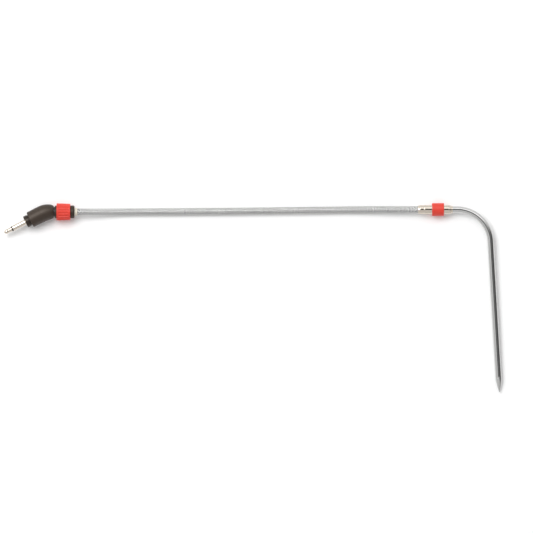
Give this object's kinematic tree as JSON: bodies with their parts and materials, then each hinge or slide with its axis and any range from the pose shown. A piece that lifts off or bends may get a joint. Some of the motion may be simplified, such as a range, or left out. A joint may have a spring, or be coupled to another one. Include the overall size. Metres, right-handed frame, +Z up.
{
  "type": "meat thermometer probe",
  "caption": "Bent stainless meat thermometer needle on a braided lead with an angled jack plug and red marker rings.",
  "frame": {"origin": "centre of the probe's own footprint (needle, ferrule and its ring) on the table that the object lies on", "axes": "+Z up from the table; +X from the lead towards the needle's bend, along the ferrule; the needle points mostly along -Y"},
  "size_m": [0.2291, 0.087, 0.008],
  "materials": {
    "needle_steel": "polished and passivated stainless steel tube",
    "ferrule_nickel": "polished nickel plate",
    "jack_nickel": "bright nickel plate",
    "steel_braid": "woven stainless steel wire",
    "red_silicone": "satin moulded silicone",
    "soft_black": "soft-touch moulded elastomer, warm charcoal",
    "hard_black": "moulded hard plastic",
    "cream_sleeve": "cream shrink sleeve",
    "jacket_silicone": "extruded silicone",
    "seal_silicone": "potted silicone",
    "ptfe": "extruded fluoropolymer",
    "paste": "ceramic-filled silicone paste",
    "bead_glass": "glass-sealed thermistor bead",
    "tinned_wire": "tinned copper wire",
    "brass": "machined or pressed brass",
    "solder": "tin solder"
  },
  "bodies": {
    "probe_lead_and_plug": {"needle_tube": "needle_steel", "needle_tip": "needle_steel", "thermistor_bead": "bead_glass", "thermal_paste": "paste", "thermistor_leads": "tinned_wire", "lead_sleeves": "ptfe", "splice_crimps": "brass", "splice_sleeves": "ptfe", "ferrule": "ferrule_nickel", "crimp_bush": "brass", "ferrule_seal": "seal_silicone", "cable_braid": "steel_braid", "cable_jacket": "jacket_silicone", "core_insulation": "ptfe", "core_wires": "tinned_wire", "braid_end_sleeve": "cream_sleeve", "braid_crimp": "brass", "collar": "soft_black", "boot": "soft_black", "inner_mould": "hard_black", "plug_nose": "hard_black", "tip_insulator": "hard_black", "jack_sleeve": "jack_nickel", "jack_tip": "jack_nickel", "sleeve_lug": "brass", "tip_lug": "brass", "lug_washer": "ptfe", "solder_joints": "solder"},
    "plug_ring": {"plug_id_ring": "red_silicone"},
    "probe_ring": {"probe_id_ring": "red_silicone"}
  },
  "joints": [
    {"name": "plug_ring_turn", "type": "hinge", "parent": "probe_lead_and_plug", "child": "plug_ring", "pos_m": [-0.18185, 0.03944, 0.004], "axis": [1, 0, 0], "continuous": true},
    {"name": "probe_ring_slide", "type": "slide", "parent": "probe_lead_and_plug", "child": "probe_ring", "axis": [1, 0, 0], "range_m": [-0.006, 0.00195]}
  ]
}
